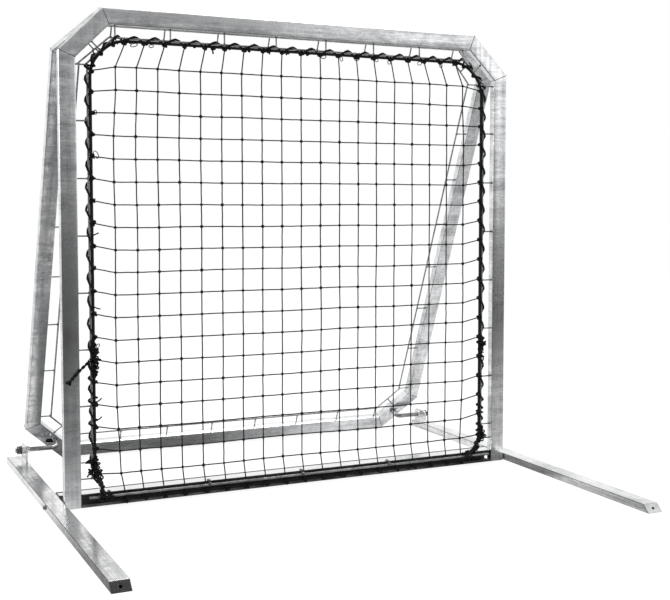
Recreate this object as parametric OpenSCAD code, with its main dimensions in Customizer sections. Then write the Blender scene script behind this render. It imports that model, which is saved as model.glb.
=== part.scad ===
// Pitch back rebounder: a netted upright frame on two foot rails, with a leaning
// frame hinged behind it. X runs across, +Y to the back, +Z up. The origin is on
// the ground, at the middle of the footprint.

/* [Front frame] */
// Width of the front frame over its uprights
frame_w = 1540; // [1100:10:2000]
// Height of the front frame
frame_h = 1500; // [1100:10:1900]
// Size of the 45 degree corner of the front frame
front_cut = 130; // [90:5:220]
// Width of the face of the frame tube
tube_face = 50; // [40:1:60]
// Depth of the frame tube, front to back
tube_depth = 30; // [25:1:40]
// Wall of the frame tube
tube_wall = 2.5; // [1.5:0.5:4]

/* [Rear frame] */
// Angle that the rear frame leans back
rear_lean = 24.6; // [15:0.2:32]
// Size of the 45 degree corners of the rear frame
rear_cut = 134; // [110:2:220]
// Height of the rear frame's bottom edge above the ground
ground_gap = 4; // [2:1:20]
// Drop of the rear frame's top edge below the top of the front frame
rear_drop = 4; // [0:0.5:8]

/* [Foot rails] */
// Width of a foot rail
rail_w = 51; // [40:1:70]
// Height of a foot rail and of the cross tube
rail_h = 23; // [20:1:34]
// Wall of the foot rail
rail_wall = 2.5; // [1.5:0.5:4]
// Gap between a foot rail and the upright beside it
rail_gap = 4; // [2:0.5:8]
// Reach of the foot rails in front of the front frame
rail_front = 822; // [500:10:1000]
// Set-back of the top edge of the slanted rail end
end_slant = 25; // [10:1:50]
// Thickness of the plates that close the rail ends
end_plate = 3; // [2:0.5:5]
// Drain hole in a slanted rail end
end_hole_d = 9; // [5:0.5:12]
// Distance from the front face to the back of the cross tube
cross_back = 141; // [120:1:300]
// Width of the cross tube
cross_w = 51; // [40:1:70]
// Length of a spigot inside the cross tube
spigot_l = 70; // [40:5:150]

/* [Bottom channel] */
// Height of the channel between the uprights
channel_h = 42; // [38:1:46]
// Depth of the channel, front to back
channel_w = 50; // [40:1:60]
// Wall of the channel
channel_wall = 3.5; // [2.5:0.5:5]
// Height of the lip at the front of the channel's lower flange
channel_lip = 9; // [6:1:11]

/* [Bolts] */
// Thread size of the bolts that hold the rails
bolt_d = 8; // [6:1:8]
// Width of the head of a rail bolt
bolt_head_d = 13; // [11:0.5:15]

/* [Net rails] */
// Diameter of the round rods that carry the net
rod_d = 6; // [5:0.5:8]
// Diameter of the pins that hold the rods off the tubes
pin_d = 5; // [3:0.5:5]
// Distance from the tube to the middle of the rod
rod_inset = 36; // [25:1:50]
// Spacing of the pins along the top and the bottom
top_pin_pitch = 172.2; // [100:0.2:220]
// Spacing of the pins on the sides of the front frame
side_pin_pitch = 171.5; // [100:0.5:250]
// Height of the lowest pin of that row
side_pin_low = 135; // [110:1:200]
// Height of the cut end of the front frame's side rod
side_rod_end = 82; // [60:1:100]
// Spacing of the pins on the sides of the rear frame
rear_pin_pitch = 183; // [100:1:230]

/* [Net] */
// Width of a mesh of the net
mesh_w = 67.4; // [40:0.2:100]
// Height of a mesh of the net
mesh_h = 68.7; // [40:0.1:100]
// Height of the lowest row of knots
low_knots = 90.4; // [80:0.2:120]
// Least room between the border cord and the next row or column
edge_room = 20; // [10:1:30]
// Thickness of the net's twine
twine = 2.4; // [1.5:0.1:4]
// Diameter of the border cord
border_d = 8; // [5:0.5:10]
// Bend radius of the border cord at the corners of the net
border_bend = 12; // [8:1:20]
// Diameter of the lacing rope
lacing_d = 5; // [3:0.5:6]
// Thickness of a knot of the lacing rope
knot_d = 20; // [14:1:24]
// Length of a knot of the lacing rope
knot_l = 64; // [40:2:80]
// Thickness of the doubled loose end of the lacing rope
tail_d = 7; // [4:0.5:8]

/* [Net rod and hooks] */
// Diameter of the rod in the bottom edge of the net
net_rod_d = 8; // [6:0.5:10]
// Height of the middle of the net rod
net_rod_z = 31; // [26:0.5:34]
// Distance of the net rod in front of the front frame
net_rod_out = 12; // [11:0.5:16]
// Gap between the net rod's ends and the uprights
net_rod_gap = 20; // [10:1:40]
// Number of hooks that hold the net rod
hook_count = 5; // [3:1:7]
// Spacing of the hooks
hook_pitch = 315; // [300:5:315]
// Offset of the row of hooks to the left
hook_shift = 8; // [7:0.5:10]
// Thickness of the hook strip
hook_t = 3.5; // [2.5:0.5:4]
// Width of the hook strip
hook_w = 8; // [5:1:9]

/* [Hinges] */
// Diameter of the hinge barrel
barrel_d = 11.6; // [9:0.2:14]
// Diameter of the hinge pin
hinge_pin_d = 6; // [4:0.5:7]
// Depth of the hinge pin below the top of the front frame
hinge_drop = 10; // [8:0.5:14]
// Length of a hinge
hinge_l = 90; // [60:5:160]
// Distance of a hinge from the middle
hinge_x = 480; // [200:10:500]
// Thickness of a hinge leaf
leaf_t = 3; // [2:0.5:4]
// Height of a hinge leaf below the pin
leaf_h = 33; // [20:1:38]

/* [Rear lock] */
// Diameter of the lock rod
lock_d = 16; // [12:1:18]
// Height of the lock rod above the rear frame's bottom edge, along the slope
lock_up = 78; // [70:1:90]
// Distance of the lock rod in front of the rear frame
lock_off = 40; // [34:1:55]
// Length of the slot in the rear frame
slot_l = 42; // [34:1:44]
// Height of the slot in the rear frame
slot_h = 20; // [18:0.5:22]
// Bend radius of the lock rod at its middle line
lock_bend = 20; // [16:1:24]
// Length of the lock rod behind the rear frame
lock_tail = 12; // [6:1:30]
// Width of the lock bracket, front to back
bracket_w = 90; // [60:2:120]
// Thickness of the lock bracket
bracket_t = 6; // [4:0.5:8]
// Height of the lock bracket above the rod's middle
bracket_rise = 18; // [15:1:30]
// Outside diameter of the guide sleeve
sleeve_d = 26; // [22:1:30]
// Length of the guide sleeve on the inner side of its bracket
sleeve_in = 12; // [6:1:20]
// Length of the guide sleeve on the outer side of its bracket
sleeve_out = 6; // [3:0.5:10]
// Outside diameter of the lock washer
washer_d = 30; // [26:1:34]
// Thickness of the lock washer
washer_t = 3; // [2:0.5:4]
// Width across the flats of the lock nut
nut_af = 24; // [22:1:30]
// Height of the lock nut
nut_h = 13; // [10:0.5:16]

/* [Hidden] */
$fn = 48;
// Gap between pieces that touch along a curve, and in a pressed or bolted fit
touch = 0.3;
fit = 0.1;
// Overlap that keeps a cut clean
over = 1;
corner_tan = tan(22.5);      // half of the turn at a 45 degree corner
half_w = frame_w / 2;

// Rear frame: where its top edge, its foot and its hinge lie
barrel_r = barrel_d / 2;
hinge_y = tube_depth + barrel_r + touch;
hinge_z = frame_h - hinge_drop;
rear_z = frame_h - rear_drop;
rear_y = hinge_y + (barrel_r + touch - (rear_z - hinge_z) * sin(rear_lean)) / cos(rear_lean);
rear_len = (rear_z - ground_gap) / cos(rear_lean);
rear_foot = rear_y + rear_len * sin(rear_lean);
rear_reach = rear_foot + tube_depth * cos(rear_lean);
hinge_s = (rear_z - hinge_z) * cos(rear_lean) + (hinge_y - rear_y) * sin(rear_lean);

// The front face of the front frame, seen from the middle of the footprint
face_y = (rail_front - rear_reach) / 2;

// Net rails and net
rod_line = tube_face + rod_inset;
border_line = rod_line + (rod_d + border_d) / 2 + touch + 1;
lace_line = (rod_line + border_line) / 2;
net_y = tube_depth / 2;
rod_corner = rod_line * corner_tan;
corner_pin = rod_corner + pin_d / 2 + 2;     // from an outline corner to the pin beside it
top_pins = 2 * floor((half_w - front_cut - rod_corner - 50) / top_pin_pitch + 0.5);
side_pins = floor((frame_h - front_cut - rod_corner - 50 - side_pin_low) / side_pin_pitch) + 1;
rear_top_pins = 2 * floor((half_w - rear_cut - rod_corner - 50) / top_pin_pitch + 0.5);
rear_side_pins = 2 * floor((rear_len / 2 - rear_cut - rod_corner - 50) / rear_pin_pitch + 0.5);
columns = 2 * floor((half_w - border_line - edge_room) / mesh_w) + 1;
rows = floor((frame_h - border_line - edge_room - low_knots) / mesh_h) + 1;
border_x = half_w - border_line;

// The last meshes fall forwards, behind the net rod, to the hem under it
net_rod_y = -net_rod_out;
rod_span = half_w - tube_face - net_rod_gap;
fall_y = net_y - net_rod_y;
fall_z = low_knots - net_rod_z;
fall = atan(fall_y / fall_z) - asin(((net_rod_d + twine) / 2 + touch) / norm([fall_y, fall_z]));
fall_start = (twine / 2 * (1 + sin(fall)) + touch) / cos(fall);
hem_z = net_rod_z - (net_rod_d + border_d) / 2 - 7;
hem_y = net_y - (low_knots - hem_z) * tan(fall) + ((border_d + twine) / 2 + touch) / cos(fall);
// At each side the border passes in front of the rod, from just under the lowest knots
side_low = low_knots - border_d - 2;
side_fall = [fall_y, side_low - net_rod_z];
front_turn = atan(side_fall[0] / side_fall[1])
    + asin(((net_rod_d + border_d) / 2 + touch + 0.2) / norm(side_fall));
front_z = net_rod_z - 2;
front_y = net_y - (side_low - front_z) * tan(front_turn);

// Hooks
hook_in = net_rod_d / 2 + touch;
hook_out = hook_in + hook_t;

// Rails
rail_in = half_w + rail_gap;
rail_out = rail_in + rail_w;
bolt_z = rail_h / 2;
plate_run = end_plate * norm([end_slant, rail_h]) / rail_h;
cross_front = cross_back - cross_w;

// Lock
lock_s = rear_len - lock_up;
slot_x = half_w - rear_cut + lock_up - tube_face * sqrt(2) / 2;
leg_x = slot_x - (slot_l - slot_h) / 2;
sleeve_end = rail_in + bracket_t + sleeve_out;
washer_x = sleeve_end + touch;
nut_x = washer_x + washer_t;
lock_y = rear_y + lock_s * sin(rear_lean) - lock_off * cos(rear_lean);
lock_z = rear_z - lock_s * cos(rear_lean) - lock_off * sin(rear_lean);

// Knots of the lacing rope: side, and height above the lowest row of knots in meshes
knots = [[-1, 5.22], [1, 4.5], [-1, 0.35], [1, 0.35]];
function knot_z(q) = low_knots + q[1] * mesh_h;

// The loose tail of the lacing rope, from its knot on the left side (chosen by eye)
tail_pts = [
    [-691.5, -3.5, 447], [-697, -6.5, 442], [-704, -7, 435.5], [-712, -6, 428],
    [-720, -5, 420], [-728, -4.4, 411.5], [-736, -4, 402.5], [-744, -4, 393]
];

// ---------------------------------------------------------------- helpers

function unit(v) = v / norm(v);
function left_of(v) = [-v[1], v[0]];

// Corner i of a closed outline, moved inwards by d
function inset(pts, i, d) =
    let (n = len(pts), p = pts[i % n],
         a = unit(p - pts[(i + n - 1) % n]), b = unit(pts[(i + 1) % n] - p))
    p + d * (left_of(a) + left_of(b)) / (1 + a * b);

function edge_len(pts, i) = norm(pts[(i + 1) % len(pts)] - pts[i]);

// Places on a length l: n of them about its middle
function centred(l, n, pitch) = [for (k = [0 : 1 : n - 1]) l / 2 + (k - (n - 1) / 2) * pitch];

// Outlines of the two frames, seen from the front, counter-clockwise.
// The front one starts below the ground, where its uprights are cut square.
front_outline = [
    [-half_w, -tube_face], [half_w, -tube_face], [half_w, frame_h - front_cut],
    [half_w - front_cut, frame_h], [front_cut - half_w, frame_h], [-half_w, frame_h - front_cut]
];
rear_outline = [
    [rear_cut - half_w, -rear_len], [half_w - rear_cut, -rear_len],
    [half_w, rear_cut - rear_len], [half_w, -rear_cut],
    [half_w - rear_cut, 0], [rear_cut - half_w, 0],
    [-half_w, -rear_cut], [-half_w, rear_cut - rear_len]
];

module front_plane() translate([0, face_y, 0]) children();

module rear_plane() translate([0, face_y + rear_y, rear_z]) rotate([rear_lean, 0, 0]) children();

module mirrored(right) {
    if (right) mirror([1, 0, 0]) children();
    else children();
}

// A flat shape in the plane of a frame, from y0 to y1
module slab(y0, y1) translate([0, y1, 0]) rotate([90, 0, 0]) linear_extrude(y1 - y0) children();

// Place children at p with their z axis along v
module point_at(p, v) translate(p) rotate([0, acos(unit(v)[2]), atan2(v[1], v[0])]) children();

// The strip of a frame between d0 and d1 from its outline, along edge i, mitred at both ends
module mitred_strip(pts, i, d0, d1, y0, y1, extra = 0) {
    along = extra * unit(pts[(i + 1) % len(pts)] - pts[i]);
    slab(y0, y1) polygon([
        inset(pts, i, d0) - along, inset(pts, i + 1, d0) + along,
        inset(pts, i + 1, d1) + along, inset(pts, i, d1) - along
    ]);
}

// One tube of a frame, along edge i
module frame_tube(pts, i) difference() {
    mitred_strip(pts, i, 0, tube_face, 0, tube_depth);
    mitred_strip(pts, i, tube_wall, tube_face - tube_wall, tube_wall, tube_depth - tube_wall, over);
}

// The round rod along edge i, with pins to the tube at distances s along the edge
module net_rail(pts, i, pins) {
    a = inset(pts, i, rod_line);
    b = inset(pts, i + 1, rod_line);
    along = unit(b - a);
    inward = left_of(along);
    intersection() {
        point_at([a[0] - rod_d * along[0], net_y, a[1] - rod_d * along[1]], [along[0], 0, along[1]])
            cylinder(d = rod_d, h = norm(b - a) + 2 * rod_d);
        mitred_strip(pts, i, rod_line - rod_d, rod_line + rod_d, -over, tube_depth + over);
    }
    for (s = pins) {
        foot = pts[i] + s * along + tube_face * inward;
        point_at([foot[0], net_y, foot[1]], [inward[0], 0, inward[1]]) cylinder(d = pin_d, h = rod_inset);
    }
}

// Pins of a straight rail of length l: one beside each end and those at the places given
function with_ends(l, places) = concat([corner_pin], places, [l - corner_pin]);

// The corner p between a and b as a short curve of radius r
function bend(a, p, b, r) =
    let (u = unit(p - a), v = unit(b - p), t = r * tan(acos(u * v) / 2))
    [for (w = [0 : 0.25 : 1]) (1 - w) * (1 - w) * (p - t * u) + 2 * w * (1 - w) * p + w * w * (p + t * v)];

// A round cord through points, with flat sides; a closed one runs back to its start
module cord(pts, d, sides = 8, closed = false) {
    n = len(pts);
    function at(k) = pts[closed ? (k + n) % n : max(0, min(k, n - 1))];
    function corner(k, j) = (k % n) * sides + j % sides;
    rings = [for (k = [0 : n - 1])
        let (dir = unit(at(k + 1) - at(k - 1)), u = unit(cross(dir, [0, 1, 0])), v = cross(dir, u))
        for (j = [0 : sides - 1])
            pts[k] + d / 2 * (cos(j * 360 / sides) * u + sin(j * 360 / sides) * v)];
    ends = [[for (j = [0 : sides - 1]) sides - 1 - j], [for (j = [0 : sides - 1]) corner(n - 1, j)]];
    polyhedron(points = rings, faces = concat(
        closed ? [] : ends,
        [for (k = [0 : n - (closed ? 1 : 2)], j = [0 : sides - 1])
            [corner(k, j), corner(k, j + 1), corner(k + 1, j + 1)]],
        [for (k = [0 : n - (closed ? 1 : 2)], j = [0 : sides - 1])
            [corner(k, j), corner(k + 1, j + 1), corner(k + 1, j)]]
    ));
}

// ------------------------------------------------------------ front frame

module front_top_bar() color("silver") front_plane() frame_tube(front_outline, 3);

module front_corner(right) color("silver") front_plane() frame_tube(front_outline, right ? 2 : 4);
module front_corner_left() front_corner(false);
module front_corner_right() front_corner(true);

// The upright stands on the ground and is closed there; the rail bolt passes its outer wall
module front_upright(right) color("silver") front_plane() mirrored(right) difference() {
    intersection() {
        mitred_strip(front_outline, 5, 0, tube_face, 0, tube_depth);
        translate([-half_w - over, -over, 0]) cube([2 * tube_face, tube_depth + 2 * over, frame_h]);
    }
    intersection() {
        mitred_strip(front_outline, 5, tube_wall, tube_face - tube_wall,
            tube_wall, tube_depth - tube_wall, over);
        translate([-half_w, 0, tube_wall]) cube([tube_face, tube_depth, frame_h]);
    }
    translate([-half_w - over, net_y, bolt_z]) rotate([0, 90, 0])
        cylinder(d = bolt_d + 2 * fit, h = tube_wall + 2 * over);
}
module front_upright_left() front_upright(false);
module front_upright_right() front_upright(true);

// The channel is open towards the front, with a lip on its lower flange
module bottom_channel() color("gray") front_plane()
    translate([tube_face - half_w, 0, 0]) rotate([90, 0, 90]) linear_extrude(frame_w - 2 * tube_face)
        polygon([
            [0, 0], [channel_w, 0], [channel_w, channel_h], [0, channel_h],
            [0, channel_h - channel_wall], [channel_w - channel_wall, channel_h - channel_wall],
            [channel_w - channel_wall, channel_wall], [channel_wall, channel_wall],
            [channel_wall, channel_lip], [0, channel_lip]
        ]);

// --------------------------------------------------------- front net rail

module net_rail_top() color("lightgray") front_plane()
    let (l = edge_len(front_outline, 3))
        net_rail(front_outline, 3, with_ends(l, centred(l, top_pins, top_pin_pitch)));

module net_rail_corner(right) color("lightgray") front_plane()
    net_rail(front_outline, right ? 2 : 4, [edge_len(front_outline, 2) / 2]);
module net_rail_corner_left() net_rail_corner(false);
module net_rail_corner_right() net_rail_corner(true);

module net_rail_side(right) color("lightgray") front_plane() mirrored(right) {
    heights = concat([side_rod_end + pin_d / 2],
        [for (k = [0 : side_pins - 1]) side_pin_low + k * side_pin_pitch],
        [frame_h - front_cut - corner_pin]);
    intersection() {
        net_rail(front_outline, 5, [for (z = heights) frame_h - front_cut - z]);
        translate([-half_w, -over, side_rod_end]) cube([2 * rod_line, tube_depth + 2 * over, frame_h]);
    }
}
module net_rail_left() net_rail_side(false);
module net_rail_right() net_rail_side(true);

// -------------------------------------------------------- net and its ropes

function column_x(k) = (k - (columns - 1) / 2) * mesh_w;

// Meshes above the lowest row of knots lie flat
module net() color("black") front_plane()
    slab(net_y - twine / 2, net_y + twine / 2) intersection() {
        union() {
            for (k = [0 : columns - 1])
                translate([column_x(k) - twine / 2, low_knots - twine / 2]) square([twine, frame_h]);
            for (k = [0 : rows - 1])
                translate([-half_w, low_knots + k * mesh_h - twine / 2]) square([frame_w, twine]);
        }
        polygon([for (i = [0 : len(front_outline) - 1])
            inset(front_outline, i, border_line + border_d / 2 + 2 * touch)]);
    }

// The last meshes fall forwards, behind the net rod, down to the hem
module net_lower_meshes() color("black") front_plane() {
    drop = (low_knots - hem_z) / cos(fall);
    translate([0, net_y, low_knots]) rotate([-fall, 0, 0])
        for (k = [0 : columns - 1])
            translate([column_x(k) - twine / 2, -twine / 2, -drop]) cube([twine, twine, drop - fall_start]);
}

// The border cord goes round the net: up the sides, over the top and along the hem.
// At each side it passes in front of the net rod on its way down to the hem.
module border_cord() color("black") front_plane() {
    low = [[border_x - 3 * border_d, hem_y, hem_z], [border_x, front_y, front_z], [border_x, net_y, side_low]];
    corners = concat(low, [for (i = [2 : 5]) let (q = inset(front_outline, i, border_line)) [q[0], net_y, q[1]]],
        [for (k = [2 : -1 : 0]) [-low[k][0], low[k][1], low[k][2]]]);
    n = len(corners);
    cord([for (k = [0 : n - 1], q = bend(corners[(k + n - 1) % n], corners[k], corners[(k + 1) % n],
        k == 1 || k == n - 2 ? border_d : border_bend)) q], border_d, 12, true);
}

// One turn of the lacing rope round the rod (at -x) and the border cord (at +x), which run along z
module lacing_turn() {
    half = (border_line - rod_line) / 2;
    r = (max(rod_d, border_d) + lacing_d) / 2 + touch + 0.5;
    rotate([16, 0, 0]) for (side = [-1, 1]) {
        translate([side * half, 0, 0]) rotate([0, 0, -90 * side])
            rotate_extrude(angle = 180) translate([r, 0]) circle(d = lacing_d);
        translate([-half, side * r, 0]) rotate([0, 90, 0]) cylinder(d = lacing_d, h = 2 * half);
    }
}

// Whether a knot on side s takes the place of the turn at height z
function knotted(s, z) =
    len([for (q = knots) if (q[0] == s && abs(knot_z(q) - z) < knot_l / 2 + 1.5 * lacing_d) q]) > 0;

// The lacing rope, one turn for each mesh
module lacing_rope() color("black") front_plane() {
    ends = lace_line * corner_tan + 1.5 * lacing_d;
    corner = front_cut / 2 + lace_line * sqrt(2) / 2;
    for (k = [1 : rows], s = [-1, 1]) {
        z = low_knots + (k - 0.5) * mesh_h;
        if (z > side_rod_end + 2 * lacing_d && z < frame_h - front_cut - ends && !knotted(s, z))
            translate([s * (half_w - lace_line), net_y, z]) rotate([0, 0, 90 + 90 * s]) lacing_turn();
    }
    for (k = [-columns : columns])
        if (abs(k + 0.5) * mesh_w < half_w - front_cut - ends)
            translate([(k + 0.5) * mesh_w, net_y, frame_h - lace_line]) rotate([0, 90, 0]) lacing_turn();
    for (s = [-1, 1])
        translate([s * (half_w - corner), net_y, frame_h - corner]) rotate([0, -45 * s, 0])
            rotate([0, 0, 90 + 90 * s]) for (t = [-1, 1])
                translate([0, 0, t * (pin_d / 2 + 2.5 * lacing_d)]) lacing_turn();
}

// Knots of the lacing rope, in front of the rod and the border cord, thick in the middle
knot_reach = (max(rod_d, border_d) + knot_d) / 2 + touch;
knot_y = net_y - sqrt(pow(knot_reach, 2) - pow((border_line - rod_line) / 2, 2));
module lacing_knots() color("black") front_plane() for (q = knots)
    translate([q[0] * (half_w - lace_line), knot_y, knot_z(q)]) rotate_extrude() polygon([
        [0, -knot_l / 2], [lacing_d, -knot_l / 2], [knot_d / 2, -knot_l / 5],
        [knot_d / 2, knot_l / 5], [lacing_d, knot_l / 2], [0, knot_l / 2]
    ]);

module lacing_tail() color("black") front_plane() cord(tail_pts, tail_d);

// ------------------------------------------------------ net rod and hooks

module net_rod() color("lightgray") front_plane()
    translate([-rod_span, net_rod_y, net_rod_z]) rotate([0, 90, 0]) cylinder(d = net_rod_d, h = 2 * rod_span);

// Each hook sits on the channel's top flange and bends down round the front of the rod
module net_rod_hooks() color("lightgray") front_plane()
    for (k = [0 : hook_count - 1])
        translate([(k - (hook_count - 1) / 2) * hook_pitch - hook_shift - hook_w / 2, 0, 0])
            rotate([90, 0, 90]) linear_extrude(hook_w) {
                translate([net_rod_y, net_rod_z]) intersection() {
                    difference() {
                        circle(r = hook_out);
                        circle(r = hook_in);
                    }
                    union() {
                        translate([-2 * hook_out, 0]) square([2 * hook_out, 2 * hook_out]);
                        rotate(20) translate([-2 * hook_out, 0]) square([2 * hook_out, hook_out]);
                    }
                }
                translate([net_rod_y, net_rod_z + hook_in]) square([net_rod_out - 0.5, hook_t]);
                translate([-0.5 - hook_t, net_rod_z + hook_in])
                    square([hook_t, channel_h + hook_t - net_rod_z - hook_in]);
                translate([-0.5 - hook_t, channel_h]) square([14, hook_t]);
            }

// ------------------------------------------------------------- foot rails

// Side view of a rail, less m all round and d from its ends
function rail_side(m, d) = [
    [-rail_front + d + m * end_slant / rail_h, m], [rear_foot - (d > 0 ? end_plate : 0), m],
    [rear_foot - (d > 0 ? end_plate : 0), rail_h - m],
    [-rail_front + end_slant + d - m * end_slant / rail_h, rail_h - m]
];

module foot_rail(right) color("silver") front_plane() mirrored(right) difference() {
    translate([-rail_out, 0, 0]) rotate([90, 0, 90]) linear_extrude(rail_w)
        polygon(rail_side(0, plate_run));
    translate([rail_wall - rail_out, -rail_front, rail_wall])
        cube([rail_w - 2 * rail_wall, rail_front + rear_reach, rail_h - 2 * rail_wall]);
    translate([-rail_out - over, net_y, bolt_z]) rotate([0, 90, 0])
        cylinder(d = bolt_d + 2 * fit, h = rail_w + 2 * over);
}
module foot_rail_left() foot_rail(false);
module foot_rail_right() foot_rail(true);

// Plates that close the rails, the slanted ones with a hole through their middle
module rail_end_plates() color("silver") front_plane() for (s = [-1, 1]) {
    x = s * (rail_in + rail_w / 2);
    difference() {
        translate([x - rail_w / 2, 0, 0]) rotate([90, 0, 90]) linear_extrude(rail_w) polygon([
            [-rail_front, 0], [plate_run - rail_front, 0],
            [plate_run + end_slant - rail_front, rail_h], [end_slant - rail_front, rail_h]
        ]);
        translate([x, end_slant / 2 - rail_front, rail_h / 2])
            rotate([atan(rail_h / end_slant) - 180, 0, 0]) rotate([0, 0, 0])
                translate([0, 0, -2 * end_plate]) cylinder(d = end_hole_d, h = 4 * end_plate);
    }
    translate([x - rail_w / 2, rear_foot - end_plate, 0]) cube([rail_w, end_plate, rail_h]);
}

module cross_tube() color("silver") front_plane() translate([-half_w, cross_front, 0]) difference() {
    cube([frame_w, cross_w, rail_h]);
    translate([-over, rail_wall, rail_wall])
        cube([frame_w + 2 * over, cross_w - 2 * rail_wall, rail_h - 2 * rail_wall]);
}

// Spigots in the ends of the cross tube, which reach across the gap to the rails
module cross_spigots() color("gray") front_plane() for (s = [-1, 1]) {
    w = cross_w - 2 * rail_wall - 2 * fit;
    h = rail_h - 2 * rail_wall - 2 * fit;
    translate([s * (half_w - spigot_l / 2 + rail_gap / 2), (cross_front + cross_back) / 2, rail_h / 2])
        difference() {
            cube([spigot_l + rail_gap, w, h], center = true);
            cube([spigot_l + rail_gap + 2 * over, w - 2 * rail_wall, h - 2 * rail_wall], center = true);
        }
}

// Each bolt passes through its rail, a spacer and the outer wall of the upright
module across(x, s) translate([s * x, net_y, bolt_z]) rotate([0, -90 * s, 0]) children();

module rail_bolts() color("dimgray") front_plane() for (s = [-1, 1]) across(rail_out, s) {
    translate([0, 0, -0.65 * bolt_d]) cylinder(d = bolt_head_d / cos(30), h = 0.65 * bolt_d, $fn = 6);
    cylinder(d = bolt_d, h = rail_w + rail_gap + tube_wall + bolt_d);
}

module rail_spacers() color("dimgray") front_plane() for (s = [-1, 1]) across(rail_in, s) difference() {
    cylinder(d = 2.2 * bolt_d, h = rail_gap);
    translate([0, 0, -over]) cylinder(d = bolt_d + 2 * fit, h = rail_gap + 2 * over);
}

module rail_nuts() color("dimgray") front_plane() for (s = [-1, 1]) across(half_w - tube_wall, s) difference() {
    cylinder(d = bolt_head_d / cos(30), h = 0.8 * bolt_d, $fn = 6);
    translate([0, 0, -over]) cylinder(d = bolt_d + 2 * fit, h = bolt_d + 2 * over);
}

// ----------------------------------------------------------------- hinges

knuckle = hinge_l / 5;
module barrel(k, bore) translate([-hinge_l / 2 + k * knuckle + touch / 2, 0, 0]) rotate([0, 90, 0])
    difference() {
        cylinder(d = barrel_d, h = knuckle - touch);
        translate([0, 0, -over]) cylinder(d = bore, h = knuckle + 2 * over);
    }

// A leaf below the barrel, from y0 to y0 + leaf_t, with a tab up to each knuckle in list ks
module leaf(y0, ks, bore) {
    translate([-hinge_l / 2, y0, -leaf_h]) cube([hinge_l, leaf_t, leaf_h - barrel_r - touch]);
    for (k = ks) {
        barrel(k, bore);
        difference() {
            translate([-hinge_l / 2 + k * knuckle + touch / 2, y0, -barrel_r - touch - over])
                cube([knuckle - touch, leaf_t, barrel_r + touch + over]);
            translate([-hinge_l / 2, 0, 0]) rotate([0, 90, 0]) cylinder(d = bore, h = hinge_l);
        }
    }
}

module front_hinge_leaves() color("dimgray") front_plane() for (s = [-1, 1])
    translate([s * hinge_x, hinge_y, hinge_z])
        leaf(tube_depth - hinge_y, [0, 2, 4], hinge_pin_d + 2 * fit);

module rear_hinge_leaves() color("dimgray") rear_plane() for (s = [-1, 1])
    translate([s * hinge_x, -barrel_r - touch, -hinge_s])
        leaf(barrel_r + touch - leaf_t, [1, 3], hinge_pin_d + 2 * touch);

module hinge_pins() color("silver") front_plane() for (s = [-1, 1])
    translate([s * hinge_x - hinge_l / 2 - 2, hinge_y, hinge_z]) rotate([0, 90, 0])
        cylinder(d = hinge_pin_d, h = hinge_l + 4);

// ------------------------------------------------------------- rear frame

module rear_top_bar() color("silver") rear_plane() frame_tube(rear_outline, 4);
module rear_bottom_bar() color("silver") rear_plane() frame_tube(rear_outline, 0);
module rear_upright_left() color("silver") rear_plane() frame_tube(rear_outline, 6);
module rear_upright_right() color("silver") rear_plane() frame_tube(rear_outline, 2);
module rear_corner_top_left() color("silver") rear_plane() frame_tube(rear_outline, 5);
module rear_corner_top_right() color("silver") rear_plane() frame_tube(rear_outline, 3);

// The lower corners have a slot for the leg of the lock rod, through both faces
module rear_corner_bottom(right) color("silver") rear_plane() difference() {
    frame_tube(rear_outline, right ? 1 : 7);
    slab(-over, tube_depth + over) translate([(right ? 1 : -1) * slot_x, -lock_s]) {
        square([slot_l - slot_h, slot_h], center = true);
        for (s = [-1, 1]) translate([s * (slot_l - slot_h) / 2, 0]) circle(d = slot_h);
    }
}
module rear_corner_bottom_left() rear_corner_bottom(false);
module rear_corner_bottom_right() rear_corner_bottom(true);

module rear_rail(i, pins) color("lightgray") rear_plane() net_rail(rear_outline, i, pins);
function rear_places(i, n, pitch) =
    let (l = edge_len(rear_outline, i)) with_ends(l, centred(l, n, pitch));
rear_top_places = rear_places(4, rear_top_pins, top_pin_pitch);
rear_side_places = rear_places(2, rear_side_pins, rear_pin_pitch);
rear_corner_place = [edge_len(rear_outline, 1) / 2];
module rear_rail_top() rear_rail(4, rear_top_places);
module rear_rail_bottom() rear_rail(0, rear_top_places);
module rear_rail_left() rear_rail(6, rear_side_places);
module rear_rail_right() rear_rail(2, rear_side_places);
module rear_rail_corner_top_left() rear_rail(5, rear_corner_place);
module rear_rail_corner_top_right() rear_rail(3, rear_corner_place);
module rear_rail_corner_bottom_left() rear_rail(7, rear_corner_place);
module rear_rail_corner_bottom_right() rear_rail(1, rear_corner_place);

// -------------------------------------------------------------- rear lock

// A plate on the rail with a guide sleeve through it
module lock_bracket(right) color("dimgray") front_plane() mirrored(right) {
    top = lock_z + bracket_rise;
    r = bracket_rise;
    translate([-rail_in - bracket_t, 0, 0]) rotate([90, 0, 90]) linear_extrude(bracket_t) difference() {
        union() {
            translate([lock_y - bracket_w / 2, rail_h]) square([bracket_w, top - r - rail_h]);
            translate([lock_y - bracket_w / 2 + r, rail_h]) square([bracket_w - 2 * r, top - rail_h]);
            for (s = [-1, 1]) translate([lock_y + s * (bracket_w / 2 - r), top - r]) circle(r = r);
        }
        translate([lock_y, lock_z]) circle(d = lock_d + 2 * touch);
    }
    for (x = [sleeve_in - rail_in, -rail_in - bracket_t]) difference() {
        l = x > -rail_in ? sleeve_in : sleeve_out;
        translate([x - l, lock_y, lock_z]) rotate([0, 90, 0]) cylinder(d = sleeve_d, h = l);
        translate([x - l - over, lock_y, lock_z]) rotate([0, 90, 0])
            cylinder(d = lock_d + 2 * touch, h = l + 2 * over);
    }
}
module lock_bracket_left() lock_bracket(false);
module lock_bracket_right() lock_bracket(true);

// Place children in the plane of the lock rod: x along the rod, y along its leg
module lock_plane() rear_plane() translate([0, 0, -lock_s]) children();

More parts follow.
